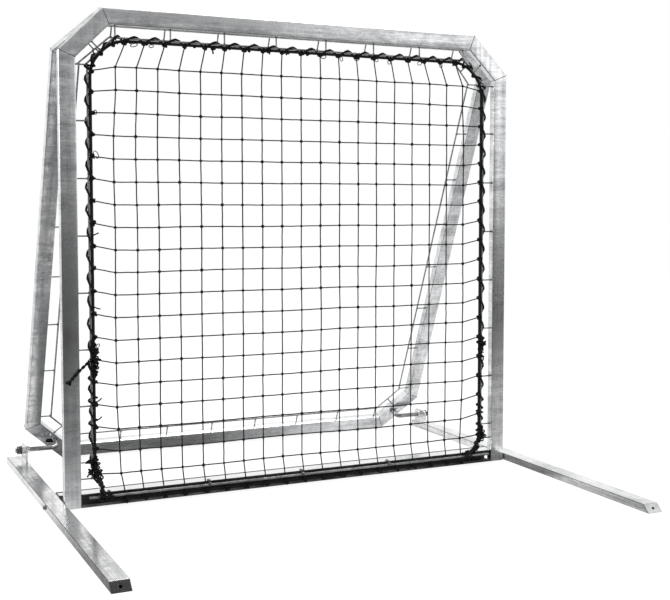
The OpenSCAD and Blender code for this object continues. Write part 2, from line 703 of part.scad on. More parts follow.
// The rod runs through the sleeve, bends and passes through the slot behind
module lock_rod(right) color("dimgray") mirrored(right) lock_plane() {
    end = nut_x + nut_h + 5;
    translate([-end, -lock_off, 0]) rotate([0, 90, 0]) cylinder(d = lock_d, h = end - leg_x - lock_bend);
    translate([-leg_x - lock_bend, lock_bend - lock_off, 0]) rotate([0, 0, -90])
        rotate_extrude(angle = 90) translate([lock_bend, 0]) circle(d = lock_d);
    translate([-leg_x, lock_bend - lock_off, 0]) rotate([-90, 0, 0])
        cylinder(d = lock_d, h = lock_off - lock_bend + tube_depth + lock_tail);
}
module lock_rod_left() lock_rod(false);
module lock_rod_right() lock_rod(true);

module lock_washer(right) color("silver") front_plane() mirrored(right)
    translate([-washer_x - washer_t, lock_y, lock_z]) rotate([0, 90, 0]) difference() {
        cylinder(d = washer_d, h = washer_t);
        translate([0, 0, -over]) cylinder(d = lock_d + 2 * fit, h = washer_t + 2 * over);
    }
module lock_washer_left() lock_washer(false);
module lock_washer_right() lock_washer(true);

module lock_nut(right) color("silver") front_plane() mirrored(right)
    translate([-nut_x - nut_h, lock_y, lock_z]) rotate([0, 90, 0]) difference() {
        cylinder(d = nut_af / cos(30), h = nut_h, $fn = 6);
        translate([0, 0, -over]) cylinder(d = lock_d + 2 * fit, h = nut_h + 2 * over);
    }
module lock_nut_left() lock_nut(false);
module lock_nut_right() lock_nut(true);

front_top_bar();
front_upright_left();
front_upright_right();
front_corner_left();
front_corner_right();
bottom_channel();
net_rail_top();
net_rail_left();
net_rail_right();
net_rail_corner_left();
net_rail_corner_right();
net();
net_lower_meshes();
border_cord();
lacing_rope();
lacing_knots();
lacing_tail();
net_rod();
net_rod_hooks();
foot_rail_left();
foot_rail_right();
rail_end_plates();
cross_tube();
cross_spigots();
rail_bolts();
rail_spacers();
rail_nuts();
front_hinge_leaves();
rear_hinge_leaves();
hinge_pins();
rear_top_bar();
rear_bottom_bar();
rear_upright_left();
rear_upright_right();
rear_corner_top_left();
rear_corner_top_right();
rear_corner_bottom_left();
rear_corner_bottom_right();
rear_rail_top();
rear_rail_bottom();
rear_rail_left();
rear_rail_right();
rear_rail_corner_top_left();
rear_rail_corner_top_right();
rear_rail_corner_bottom_left();
rear_rail_corner_bottom_right();
lock_bracket_left();
lock_bracket_right();
lock_rod_left();
lock_rod_right();
lock_washer_left();
lock_washer_right();
lock_nut_left();
lock_nut_right();
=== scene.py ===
import math
import random

import bmesh
import bpy
from mathutils import Matrix, Vector, noise


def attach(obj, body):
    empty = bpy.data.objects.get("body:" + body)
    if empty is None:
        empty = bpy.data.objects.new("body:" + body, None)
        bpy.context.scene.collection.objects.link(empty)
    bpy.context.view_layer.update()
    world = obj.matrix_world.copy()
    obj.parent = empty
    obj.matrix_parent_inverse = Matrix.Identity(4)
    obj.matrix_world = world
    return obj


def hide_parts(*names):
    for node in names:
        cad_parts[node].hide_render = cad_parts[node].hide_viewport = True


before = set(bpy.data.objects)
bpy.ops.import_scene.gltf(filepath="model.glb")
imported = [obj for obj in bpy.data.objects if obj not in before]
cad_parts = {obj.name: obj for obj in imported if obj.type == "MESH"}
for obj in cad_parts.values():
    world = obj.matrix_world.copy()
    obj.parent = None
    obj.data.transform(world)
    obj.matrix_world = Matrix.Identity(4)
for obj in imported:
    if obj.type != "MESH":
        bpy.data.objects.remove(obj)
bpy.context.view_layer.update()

MM = 0.001

# ---------------------------------------------------------------- sizes, in millimetres

FRAME_W, FRAME_H, FRONT_CUT, REAR_CUT = 1540, 1500, 130, 134
HALF_W = FRAME_W / 2
TUBE_FACE, TUBE_DEPTH = 50, 30
LEAN = math.radians(24.6)
GROUND_GAP, REAR_DROP, HINGE_DROP, BARREL_R, TOUCH = 4, 4, 10, 5.8, 0.3
RAIL_H, RAIL_FRONT, END_SLANT = 23, 822, 25
CROSS_BACK, CHANNEL_H = 141, 42
ROD_D, PIN_D, ROD_LINE, BORDER_D, LACING_D, TAIL_D = 6, 5, 86, 8, 5, 7
BORDER_LINE = ROD_LINE + (ROD_D + BORDER_D) / 2 + TOUCH + 1
LACE_LINE = (ROD_LINE + BORDER_LINE) / 2
SIDE_ROD_END, SIDE_PIN_LOW = 82, 135
TOP_PITCH, SIDE_PITCH, REAR_PITCH = 172.2, 171.5, 183
PIN_INSET = ROD_LINE * math.tan(math.radians(22.5)) + PIN_D / 2 + 2      # from a frame corner to its next pin
MESH_W, MESH_H, LOW_KNOTS, STRINGS = 67.4, 68.7, 90.4, 19
NET_Y = TUBE_DEPTH / 2

HINGE_Y = TUBE_DEPTH + BARREL_R + TOUCH
REAR_Z = FRAME_H - REAR_DROP
REAR_Y = HINGE_Y + (BARREL_R + TOUCH - (HINGE_DROP - REAR_DROP) * math.sin(LEAN)) / math.cos(LEAN)
REAR_LEN = (REAR_Z - GROUND_GAP) / math.cos(LEAN)
REAR_FOOT = REAR_Y + REAR_LEN * math.sin(LEAN)
FACE_Y = (RAIL_FRONT - REAR_FOOT - TUBE_DEPTH * math.cos(LEAN)) / 2


def front_place(x, y, z):
    """A point measured from the front face of the front frame, in metres in the row frame."""
    return Vector((x, y + FACE_Y, z)) * MM


def rear_place(x, k, z):
    """A point in the rear frame's own plane: k behind its front face, z along its slope."""
    y = REAR_Y + k * math.cos(LEAN) - z * math.sin(LEAN)
    h = REAR_Z + k * math.sin(LEAN) + z * math.cos(LEAN)
    return front_place(x, y, h)


# ---------------------------------------------------------------- camera

YAW, PITCH, ROLL = math.radians(27.678), math.radians(-3.783), math.radians(0.266)
STAND_X, STAND_Y, STAND_Z = -1.469875, -3.614341, 0.944713      # metres, from the front frame's face
forward = Vector((math.sin(YAW) * math.cos(PITCH), math.cos(YAW) * math.cos(PITCH), math.sin(PITCH)))
level = Vector((math.cos(YAW), -math.sin(YAW), 0))
upward = level.cross(forward)
right = level * math.cos(ROLL) + upward * math.sin(ROLL)
up = upward * math.cos(ROLL) - level * math.sin(ROLL)
lens = bpy.data.cameras.new("camera")
lens.sensor_width = 36
lens.lens = 64.15
lens.shift_x, lens.shift_y = -0.1256, -0.0372
lens.clip_end = 60
camera = bpy.data.objects.new("camera", lens)
camera.matrix_world = Matrix((
    (right.x, up.x, -forward.x, STAND_X), (right.y, up.y, -forward.y, STAND_Y + FACE_Y * MM),
    (right.z, up.z, -forward.z, STAND_Z), (0, 0, 0, 1)))
bpy.context.scene.collection.objects.link(camera)
bpy.context.scene.camera = camera


# ---------------------------------------------------------------- pieces and their bodies

def linked(name, mesh):
    """A mesh object at the origin, in the scene."""
    made = bpy.data.objects.new(name, mesh)
    bpy.context.scene.collection.objects.link(made)
    return made


def fitted(piece, body, slot, *nodes):
    """Rides a finished piece on its body, in place of the CAD nodes that it stands for."""
    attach(piece, body)
    if nodes:
        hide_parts(*nodes)


# ---------------------------------------------------------------- shader node groups

def group_socket(tree, name, kind="NodeSocketFloat", out=False, value=None):
    """Adds a named input or output to a shader node group."""
    socket = tree.interface.new_socket(name, in_out="OUTPUT" if out else "INPUT", socket_type=kind)
    if value is not None:
        socket.default_value = value
    return socket


class Nodes:
    """A short way to add and join nodes in one tree."""

    def __init__(self, tree):
        self.tree = tree

    def add(self, kind, *inputs, **settings):
        """A new node with its settings; each input gets a value or a link."""
        made = self.tree.nodes.new(kind)
        for key, value in settings.items():
            setattr(made, key, value)
        for key, value in inputs:
            if isinstance(value, bpy.types.NodeSocket):
                self.tree.links.new(value, made.inputs[key])
            else:
                made.inputs[key].default_value = value
        return made

    def link(self, output, given):
        self.tree.links.new(output, given)

    def math(self, operation, a, b=0.0, clamp=False):
        made = self.add("ShaderNodeMath", (0, a), (1, b), operation=operation, use_clamp=clamp)
        return made.outputs[0]

    def times(self, a, b):
        return self.math("MULTIPLY", a, b)

    def ramp(self, value, start, end, low, high):
        """low up to start, high from end on, and even in between."""
        made = self.add("ShaderNodeMapRange", ("Value", value), ("From Min", start), ("From Max", end),
                        ("To Min", low), ("To Max", high), clamp=True)
        return made.outputs[0]

    def band(self, value, start, full, fade, end):
        """1 from full to fade, and 0 outside start and end."""
        return self.times(self.ramp(value, start, full, 0.0, 1.0), self.ramp(value, fade, end, 1.0, 0.0))

    def mix(self, factor, a, b):
        return self.add("ShaderNodeMix", (0, factor), (6, a), (7, b), data_type="RGBA").outputs[2]


SMEAR_TURN = (0.5, 0.75, 0.4)      # the way that smears and scratches run, in radians


def make_zinc_bloom():
    """Blotches and spangle of a hot-dip zinc coat, with drain streaks along one axis."""
    tree = bpy.data.node_groups.new("zinc bloom", "ShaderNodeTree")
    group_socket(tree, "Blotch size", value=0.05)
    group_socket(tree, "Spangle size", value=0.008)
    group_socket(tree, "Streak", value=0.5)
    group_socket(tree, "Along", "NodeSocketVector", value=(1.0, 1.0, 1.0))
    group_socket(tree, "Shade", out=True)
    group_socket(tree, "Grain", out=True)
    n = Nodes(tree)
    given = n.add("NodeGroupInput")
    place = n.add("ShaderNodeTexCoord").outputs["Object"]
    blotch = n.add("ShaderNodeTexNoise", ("Vector", place), ("Detail", 5.0), ("Roughness", 0.62),
                   ("Scale", n.math("DIVIDE", 1.0, given.outputs[0])))
    spangle = n.add("ShaderNodeTexVoronoi", ("Vector", place),
                    ("Scale", n.math("DIVIDE", 1.0, given.outputs[1])), feature="F1")
    slanted = n.add("ShaderNodeMapping", ("Vector", place), ("Rotation", SMEAR_TURN), ("Scale", (4.0, 4.0, 34.0)))
    smear = n.add("ShaderNodeTexNoise", ("Vector", slanted.outputs[0]), ("Scale", 1.0), ("Detail", 3.0))
    drawn = n.add("ShaderNodeVectorMath", (0, place), (1, given.outputs[3]), operation="MULTIPLY")
    streak = n.add("ShaderNodeTexNoise", ("Vector", drawn.outputs[0]), ("Scale", 1.0), ("Detail", 4.0),
                   ("Roughness", 0.6))
    cell = n.add("ShaderNodeSeparateColor", (0, spangle.outputs["Color"]))
    shade = n.math("ADD", n.ramp(blotch.outputs[0], 0.32, 0.68, 0.0, 0.45), n.times(cell.outputs[0], 0.16))
    lines = n.times(n.ramp(streak.outputs[0], 0.34, 0.66, 0.0, 0.55), given.outputs[2])
    narrow = n.add("ShaderNodeMapping", ("Vector", place), ("Rotation", SMEAR_TURN), ("Scale", (30, 30, 190)))
    scratch = n.add("ShaderNodeTexNoise", ("Vector", narrow.outputs[0]), ("Scale", 1.0), ("Detail", 3.0))
    smears = n.math("ADD", n.ramp(smear.outputs[0], 0.36, 0.62, -0.16, 0.24),
                    n.ramp(scratch.outputs[0], 0.35, 0.65, -0.14, 0.14))
    result = n.add("NodeGroupOutput")
    n.link(n.math("ADD", n.math("ADD", shade, lines), smears, clamp=True), result.inputs[0])
    fine = n.add("ShaderNodeTexNoise", ("Vector", place), ("Scale", 240.0), ("Detail", 3.0))
    n.link(n.math("ADD", fine.outputs[0], n.times(cell.outputs[1], 0.35)), result.inputs[1])
    return tree


def make_cord_twist():
    """The lay of a braided cord: fine slanted ridges."""
    tree = bpy.data.node_groups.new("cord twist", "ShaderNodeTree")
    group_socket(tree, "Strands", value=900.0)
    group_socket(tree, "Ridge", out=True)
    n = Nodes(tree)
    given = n.add("NodeGroupInput")
    place = n.add("ShaderNodeTexCoord").outputs["Object"]
    turned = n.add("ShaderNodeMapping", ("Vector", place), ("Rotation", (0.7, 0.6, 0.3)))
    wave = n.add("ShaderNodeTexWave", ("Vector", turned.outputs[0]), ("Scale", given.outputs[0]),
                 ("Distortion", 1.2), ("Detail", 1.0))
    n.link(wave.outputs[1], n.add("NodeGroupOutput").inputs[0])
    return tree


ZINC_BLOOM = make_zinc_bloom()
CORD_TWIST = make_cord_twist()


# drain streaks: waves for each metre along X, Y and Z, few along the piece
UPRIGHT, LEVEL_X, LEVEL_Y = (90.0, 90.0, 2.0), (2.0, 90.0, 90.0), (90.0, 2.0, 90.0)


def coat(name):
    """A new material, with its nodes and its main shader."""
    made = bpy.data.materials.new(name)
    made.use_nodes = True
    return made, Nodes(made.node_tree), made.node_tree.nodes["Principled BSDF"]


def zinc_material(name, dark, pale, rough, blotch=0.05, streak=0.5, along=UPRIGHT):
    """Galvanised steel: rough is the roughness of its dark and of its pale patches."""
    made, n, shader = coat(name)
    bloom = n.add("ShaderNodeGroup", (0, blotch), (2, streak), (3, along), node_tree=ZINC_BLOOM)
    n.link(n.mix(bloom.outputs[0], (*dark, 1), (*pale, 1)), shader.inputs["Base Color"])
    n.link(n.ramp(bloom.outputs[0], 0.0, 1.0, *rough), shader.inputs["Roughness"])
    shader.inputs["Metallic"].default_value = 0.95
    grain = n.add("ShaderNodeBump", ("Strength", 0.12), ("Distance", 0.0006), ("Height", bloom.outputs[1]))
    n.link(grain.outputs[0], shader.inputs["Normal"])
    return made


def cord_material(name, colour, strands):
    """Black braided cord, a little paler on its ridges."""
    made, n, shader = coat(name)
    twist = n.add("ShaderNodeGroup", (0, strands), node_tree=CORD_TWIST)
    pale = tuple(c * 1.8 + 0.004 for c in colour)
    shader.inputs["Specular IOR Level"].default_value = 0.2
    n.link(n.mix(twist.outputs[0], (*colour, 1), (*pale, 1)), shader.inputs["Base Color"])
    n.link(n.ramp(twist.outputs[0], 0.0, 1.0, 0.8, 0.6), shader.inputs["Roughness"])
    ridges = n.add("ShaderNodeBump", ("Strength", 0.6), ("Distance", 0.0005), ("Height", twist.outputs[0]))
    n.link(ridges.outputs[0], shader.inputs["Normal"])
    return made


TUBE_DARK, TUBE_PALE = (0.42, 0.43, 0.44), (0.93, 0.94, 0.95)
TUBE_ZINC = zinc_material("galvanised upright tube", TUBE_DARK, TUBE_PALE, (0.30, 0.13), streak=0.8)
BAR_ZINC = zinc_material("galvanised level tube", TUBE_DARK, TUBE_PALE, (0.30, 0.13), streak=0.7, along=LEVEL_X)
RAIL_ZINC = zinc_material("galvanised foot rail", (0.46, 0.47, 0.48), (1.0, 1.0, 1.0), (0.30, 0.12), blotch=0.06,
                          streak=0.9, along=LEVEL_Y)
# painted light: a brighter copy of the zinc for upward faces, which catch the light from above
LIT_TOP_ZINC = zinc_material("painted lit top zinc", (0.80, 0.81, 0.82), (1.0, 1.0, 1.0), (0.25, 0.12), along=LEVEL_X)
PLATE_ZINC = zinc_material("smooth plate zinc", (0.55, 0.56, 0.57), (0.95, 0.95, 0.95), (0.14, 0.08), streak=0.2)
# painted shade: near-black zinc for dark shade lines on rounded edges and for the cross tube's shaded faces
PAINTED_SHADE_ZINC = zinc_material("painted shade zinc", (0.03, 0.03, 0.031), (0.12, 0.12, 0.125), (0.6, 0.4))
ROD_ZINC = zinc_material("galvanised rod", (0.24, 0.245, 0.25), (0.62, 0.63, 0.64), (0.5, 0.32), blotch=0.03,
                         streak=0.1)
HEM_ROD_ZINC = zinc_material("dull rod zinc", (0.12, 0.12, 0.125), (0.42, 0.425, 0.43), (0.5, 0.32), blotch=0.03)
WELD_ZINC = zinc_material("zinc over weld", (0.10, 0.10, 0.105), (0.50, 0.51, 0.52), (0.6, 0.4), blotch=0.012,
                          streak=0.0)
# painted shade: the bottom channel is made near black for the shade inside it and behind the net cords
SHADED_CHANNEL_ZINC = zinc_material("channel zinc with painted shade", (0.02, 0.02, 0.021), (0.22, 0.225, 0.23), (0.6, 0.45),
                             along=LEVEL_X)
LOCK_ROD_ZINC = zinc_material("lock rod zinc", (0.12, 0.12, 0.125), (0.48, 0.48, 0.49), (0.30, 0.16), blotch=0.02)
LOCK_STEEL = zinc_material("lock steel", (0.04, 0.04, 0.042), (0.26, 0.26, 0.265), (0.4, 0.25), blotch=0.012,
                           streak=0.0)
NET_TWINE = cord_material("net twine", (0.008, 0.008, 0.009), 900)
ROPE = cord_material("lacing rope", (0.005, 0.005, 0.0055), 420)
BORDER = cord_material("border cord", (0.006, 0.006, 0.0065), 300)


# ---------------------------------------------------------------- geometry node helpers

def geometry_tree(name, *inputs):
    """An empty tree with a geometry, the named inputs and one output, and its two end nodes."""
    tree = bpy.data.node_groups.new(name, "GeometryNodeTree")
    tree.interface.new_socket("Geometry", in_out="INPUT", socket_type="NodeSocketGeometry")
    for label, kind in inputs:
        tree.interface.new_socket(label, in_out="INPUT", socket_type=kind)
    tree.interface.new_socket("Geometry", in_out="OUTPUT", socket_type="NodeSocketGeometry")
    return tree, tree.nodes.new("NodeGroupInput"), tree.nodes.new("NodeGroupOutput")


def join(tree, *pairs):
    """Links each pair of an output and an input."""
    for a, b in pairs:
        tree.links.new(a, b)


def put(obj, tree, **values):
    """Adds the tree to obj and sets its named inputs by their identifiers."""
    modifier = obj.modifiers.new(tree.name, "NODES")
    modifier.node_group = tree
    for item in tree.interface.items_tree:
        if item.in_out == "INPUT" and item.name in values:
            modifier[item.identifier] = values[item.name]


def settled(obj):
    """Turns the evaluated object into a plain smooth mesh object that sits at the origin."""
    bpy.context.view_layer.update()
    name = obj.name
    seen = obj.evaluated_get(bpy.context.evaluated_depsgraph_get())
    mesh = bpy.data.meshes.new_from_object(seen)
    bpy.data.objects.remove(obj)
    for face in mesh.polygons:
        face.use_smooth = True
    return linked(name, mesh)


def make_cord_tree():
    """Round cord of one thickness along the edges of a mesh."""
    tree, given, result = geometry_tree("cord along edges", ("Radius", "NodeSocketFloat"),
                                        ("Sides", "NodeSocketInt"), ("Material", "NodeSocketMaterial"))
    line = tree.nodes.new("GeometryNodeMeshToCurve")
    ring = tree.nodes.new("GeometryNodeCurvePrimitiveCircle")
    skin = tree.nodes.new("GeometryNodeCurveToMesh")
    skin.inputs["Fill Caps"].default_value = True
    finish = tree.nodes.new("GeometryNodeSetMaterial")
    join(tree, (given.outputs[0], line.inputs[0]), (given.outputs["Radius"], ring.inputs["Radius"]),
         (given.outputs["Sides"], ring.inputs["Resolution"]), (line.outputs[0], skin.inputs[0]),
         (ring.outputs[0], skin.inputs[1]), (skin.outputs[0], finish.inputs[0]),
         (given.outputs["Material"], finish.inputs["Material"]), (finish.outputs[0], result.inputs[0]))
    return tree


def make_knot_tree():
    """A small flattened lump on each vertex of a mesh, sized at random by a fixed seed."""
    tree, given, result = geometry_tree("lumps on points", ("Radius", "NodeSocketFloat"),
                                        ("Seed", "NodeSocketInt"), ("Material", "NodeSocketMaterial"))
    lump = tree.nodes.new("GeometryNodeMeshIcoSphere")
    lump.inputs["Subdivisions"].default_value = 2
    spread = tree.nodes.new("GeometryNodeInstanceOnPoints")
    chance = tree.nodes.new("FunctionNodeRandomValue")
    chance.data_type = "FLOAT_VECTOR"
    chance.inputs[0].default_value = (0.8, 0.65, 0.8)
    chance.inputs[1].default_value = (1.25, 0.9, 1.2)
    real = tree.nodes.new("GeometryNodeRealizeInstances")
    finish = tree.nodes.new("GeometryNodeSetMaterial")
    join(tree, (given.outputs[0], spread.inputs["Points"]), (given.outputs["Radius"], lump.inputs["Radius"]),
         (lump.outputs[0], spread.inputs["Instance"]), (given.outputs["Seed"], chance.inputs["Seed"]),
         (chance.outputs[0], spread.inputs["Scale"]), (spread.outputs[0], real.inputs[0]),
         (real.outputs[0], finish.inputs[0]), (given.outputs["Material"], finish.inputs["Material"]),
         (finish.outputs[0], result.inputs[0]))
    return tree


CORD_TREE = make_cord_tree()
KNOT_TREE = make_knot_tree()


def edge_object(name, chains, closed=False):
    """A mesh of edges only: one chain of points after another."""
    points, edges = [], []
    for chain in chains:
        first = len(points)
        points += [tuple(p) for p in chain]
        edges += [(first + j, first + j + 1) for j in range(len(chain) - 1)]
        if closed:
            edges.append((len(points) - 1, first))
    mesh = bpy.data.meshes.new(name)
    mesh.from_pydata(points, edges, [])
    return linked(name, mesh)


def cord_piece(name, chains, diameter, material, sides=8, closed=False):
    """Round cord of one diameter, in millimetres, along each chain; closed makes each chain a loop."""
    made = edge_object(name, chains, closed)
    put(made, CORD_TREE, Radius=diameter / 2 * MM, Sides=sides, Material=material)
    return settled(made)


def lump_piece(name, points, radius, material, seed=3):
    """Small lumps of one radius, in millimetres, at the given points."""
    made = edge_object(name, [[p] for p in points])
    put(made, KNOT_TREE, Radius=radius * MM, Seed=seed, Material=material)
    return settled(made)


def joined(name, *parts):
    """One mesh object from several that are already in place."""
    shape = bmesh.new()
    materials = []
    for part in parts:
        start = len(shape.faces)
        shape.from_mesh(part.data)
        shape.faces.ensure_lookup_table()
        for face in shape.faces[start:]:
            material = part.data.materials[face.material_index]
            if material not in materials:
                materials.append(material)
            face.material_index = materials.index(material)
    mesh = bpy.data.meshes.new(name)
    shape.to_mesh(mesh)
    shape.free()
    for material in materials:
        mesh.materials.append(material)
    for part in parts:
        bpy.data.objects.remove(part)
    return linked(name, mesh)


# ---------------------------------------------------------------- outlines of the two frames

def inset(points, i, d):
    """Corner i of a closed counter-clockwise outline, moved inwards by d."""
    count = len(points)
    before, here, after = (Vector(points[(i + k) % count]) for k in (-1, 0, 1))
    a, b = (here - before).normalized(), (after - here).normalized()
    return here + d * (Vector((-a.y, a.x)) + Vector((-b.y, b.x))) / (1 + a.dot(b))


FRONT_OUTLINE = [(-HALF_W, -TUBE_FACE), (HALF_W, -TUBE_FACE), (HALF_W, FRAME_H - FRONT_CUT),
                 (HALF_W - FRONT_CUT, FRAME_H), (FRONT_CUT - HALF_W, FRAME_H), (-HALF_W, FRAME_H - FRONT_CUT)]
REAR_OUTLINE = [(REAR_CUT - HALF_W, -REAR_LEN), (HALF_W - REAR_CUT, -REAR_LEN), (HALF_W, REAR_CUT - REAR_LEN),
                (HALF_W, -REAR_CUT), (HALF_W - REAR_CUT, 0), (REAR_CUT - HALF_W, 0),
                (-HALF_W, -REAR_CUT), (-HALF_W, REAR_CUT - REAR_LEN)]


def rounded(width, depth, radius, steps=4):
    """Points of a rounded rectangle from (0, 0) to (width, depth), counter-clockwise."""
    result = []
    for cx, cy, start in ((width - radius, radius, -90), (width - radius, depth - radius, 0),
                          (radius, depth - radius, 90), (radius, radius, 180)):
        for k in range(steps + 1):
            turn = math.radians(start + 90 * k / steps)
            result.append((cx + radius * math.cos(turn), cy + radius * math.sin(turn)))
    return result


def lofted(name, rings, material):
    """A closed skin through rings that have equally many points, with both ends capped."""
    count = len(rings[0])
    points = [tuple(p) for ring in rings for p in ring]
    faces = []
    for k in range(len(rings) - 1):
        for j in range(count):
            a, b = k * count + j, k * count + (j + 1) % count
            faces.append((a, b, b + count, a + count))
    faces.append(tuple(reversed(range(count))))
    faces.append(tuple(range((len(rings) - 1) * count, len(rings) * count)))
    mesh = bpy.data.meshes.new(name)
    mesh.from_pydata(points, [], faces)
    mesh.materials.append(material)
    shape = bmesh.new()
    shape.from_mesh(mesh)
    bmesh.ops.recalc_face_normals(shape, faces=shape.faces)
    for face in shape.faces:
        face.smooth = len(face.verts) == 4
    shape.to_mesh(mesh)
    shape.free()
    mesh.set_sharp_from_angle(angle=math.radians(40))
    return linked(name, mesh)


TUBE_PROFILE = rounded(TUBE_FACE, TUBE_DEPTH, 3.2)


def tube_piece(node, place, outline, i, body, floor=None):
    """A frame tube with rounded edges, mitred at both ends, in place of its CAD node."""
    rings = []
    for corner in (i, i + 1):
        ring = []
        for d, y in TUBE_PROFILE:
            p = inset(outline, corner, d)
            if floor is not None:
                p.y = max(p.y, floor)
            ring.append(place(p.x, y, p.y))
        rings.append(ring)
    made = lofted(node + "_tube", rings, BAR_ZINC if "bar" in node else TUBE_ZINC)
    fitted(made, body, "tube", node)


def weld_line(place, outline, i):
    """The closed line of a mitre weld round the tube at corner i."""
    mitre = [(inset(outline, i, d), y) for d, y in rounded(TUBE_FACE, TUBE_DEPTH, 3.0, 3)]
    return [place(p.x, y, p.y) for p, y in mitre]


FRONT_TUBES = {"front_top_bar": 3, "front_corner_right": 2, "front_corner_left": 4,
               "front_upright_right": 1, "front_upright_left": 5}
for node, edge in FRONT_TUBES.items():
    tube_piece(node, front_place, FRONT_OUTLINE, edge, "base", floor=0.0)
REAR_TUBES = {"rear_top_bar": 4, "rear_bottom_bar": 0, "rear_upright_left": 6, "rear_upright_right": 2,
              "rear_corner_top_left": 5, "rear_corner_top_right": 3}
for node, edge in REAR_TUBES.items():
    tube_piece(node, rear_place, REAR_OUTLINE, edge, "rear_frame")

for name, place, outline, corners, body in (
        ("front_weld_beads", front_place, FRONT_OUTLINE, range(2, 6), "base"),
        ("rear_weld_beads", rear_place, REAR_OUTLINE, range(8), "rear_frame")):
    beads = cord_piece(name, [weld_line(place, outline, i) for i in corners], 2.4, WELD_ZINC, closed=True)
    fitted(beads, body, "tube")


# ---------------------------------------------------------------- net

CORNER_SUM = HALF_W - FRONT_CUT / 2 + FRAME_H - FRONT_CUT / 2     # |x| + z on the chamfers' outer line
NET_EDGE = BORDER_LINE + 3
FALL = math.radians(19.61)      # the lean of the last meshes, which fall forwards behind the net rod
HEM_Y, HEM_Z = -5.7, 16
FRONT_Y = -24.2                 # the border cord where it passes in front of the net rod
TWINE_D, NET_KNOT_R = 4.1, 5.0
NET_SEED = 11                   # gives the net the same drift in every run
noise.seed_set(NET_SEED)


def string_x(i):
    return (i - (STRINGS - 1) / 2) * MESH_W


def across(x):
    """How far x lies out from the middle: 0 there, 1 at the outermost strings."""
    return abs(x) / string_x(STRINGS - 1)


def net_point(i, j):
    """Knot of string i and row j, drawn slightly out of square as a hung net is."""
    x = string_x(i)
    z = LOW_KNOTS + j * MESH_H
    drift = noise.noise_vector(Vector((i * 0.31, j * 0.27, 4.0)))
    out = across(x) ** 6
    low = max(0.0, 1 - j / 3)
    pulled = out * (9 * low + 8 * max(0.0, 1 - abs(j - 17.5) / 2))
    x += 2.5 * drift.x - math.copysign(pulled, x)
    z += 2.5 * drift.y
    return x, NET_Y + 2.0 * drift.z, z


def in_net(p):
    """Whether a knot lies inside the net's cut corners."""
    return abs(p[0]) + p[2] < CORNER_SUM - (NET_EDGE + 12) * math.sqrt(2)


def top_end(x):
    """Where a string leaves its last knot for the border cord: it leans towards the middle."""
    x -= math.copysign(31 * across(x) ** 1.2, x)
    return x, NET_Y, min(FRAME_H - NET_EDGE, CORNER_SUM - NET_EDGE * math.sqrt(2) - abs(x))


def side_end(x, z, j):
    """Where a row meets the border cord: lower than its knot at the top, higher further down."""
    z += 14 - 28 * max(0.0, (j - 10) / 8) ** 2 if j else 6
    side = min(HALF_W - NET_EDGE, CORNER_SUM - NET_EDGE * math.sqrt(2) - z)
    return math.copysign(side, x), NET_Y, z


def net_chains():
    """Chains of knots along every string and every row, out to the border cord, and their ends on it."""
    chains, ends = [], []
    for i in range(STRINGS):
        knots = [p for p in (net_point(i, j) for j in range(STRINGS)) if in_net(p)]
        x = knots[0][0]
        foot = (x - math.copysign(11 * across(x) ** 6, x), NET_Y - (LOW_KNOTS - HEM_Z) * math.tan(FALL), HEM_Z - 2)
        tip = top_end(knots[-1][0])
        chains.append([foot] + knots + [tip])
        ends += [foot, tip]
    for j in range(STRINGS):
        knots = [p for p in (net_point(i, j) for i in range(STRINGS)) if in_net(p)]
        first, last = side_end(knots[0][0], knots[0][2], j), side_end(knots[-1][0], knots[-1][2], j)
        chains.append([first] + knots + [last])
        ends += [first, last]
    return chains, ends


def wandering(chain):
    """A chain of knots with three more points in each mesh, slightly off the straight line."""
    points = [Vector(p) for p in chain]
    line = [points[0]]
    for a, b in zip(points, points[1:]):
        for t in (0.25, 0.5, 0.75):
            line.append(a.lerp(b, t) + noise.noise_vector((a + b) * 0.013 + Vector((t * 3, 0, 0))) * 0.8)
        line.append(b)
    return [front_place(*p) for p in line]


chains, net_ends = net_chains()
twine = cord_piece("net_strings", [wandering(chain) for chain in chains], TWINE_D, NET_TWINE, 6)
net_knots = [p for p in (net_point(i, j) for i in range(STRINGS) for j in range(STRINGS)) if in_net(p)]
knots = lump_piece("net_knots_rough", [front_place(*p) for p in net_knots], NET_KNOT_R, NET_TWINE)
net = joined("net_cords", twine, knots)
fitted(net, "base", "cord", "net", "net_lower_meshes")


# ---------------------------------------------------------------- border cord and lacing

def rounded_path(points, radius, steps=6, closed=True):
    """A path through points with its corners rounded."""
    result = []
    count = len(points)
    for k in range(count):
        here = Vector(points[k])
        if not closed and k in (0, count - 1):
            result.append(here)
            continue
        a = Vector(points[k - 1])
        b = Vector(points[(k + 1) % count])
        reach = min(radius, (here - a).length * 0.45, (here - b).length * 0.45)
        p, q = here + (a - here).normalized() * reach, here + (b - here).normalized() * reach
        for s in range(steps + 1):
            t = s / steps
            result.append(p.lerp(here, t).lerp(here.lerp(q, t), t))
    return result


BORDER_X = HALF_W - BORDER_LINE
LEFT_FOOT = [(-BORDER_X, NET_Y, 96), (-668, -4, 82), (-661, FRONT_Y + 2, 54), (-654, FRONT_Y, 30),
             (-634, HEM_Y, HEM_Z)]
RIGHT_FOOT = [(572, HEM_Y, HEM_Z), (604, FRONT_Y + 3, 30), (640, -12, 56), (668, 8, 78), (BORDER_X, NET_Y, 100)]
ROUND_BORDER_D = 9.8      # the border cord with the net's edge meshes gathered on it
ROUND_LACING_D = 7.0


def border_loop():
    """The border cord: up the right side, over the top, down the left and back along the hem."""
    pulls = ((0, 6), (6, 0), (-6, 0), (0, 6))      # how far the lacing pulls it into each corner
    tops = [inset(FRONT_OUTLINE, i, BORDER_LINE) + Vector(pull) for i, pull in zip(range(2, 6), pulls)]
    return rounded_path(RIGHT_FOOT + [(p.x, NET_Y, p.y) for p in tops] + LEFT_FOOT, 55)


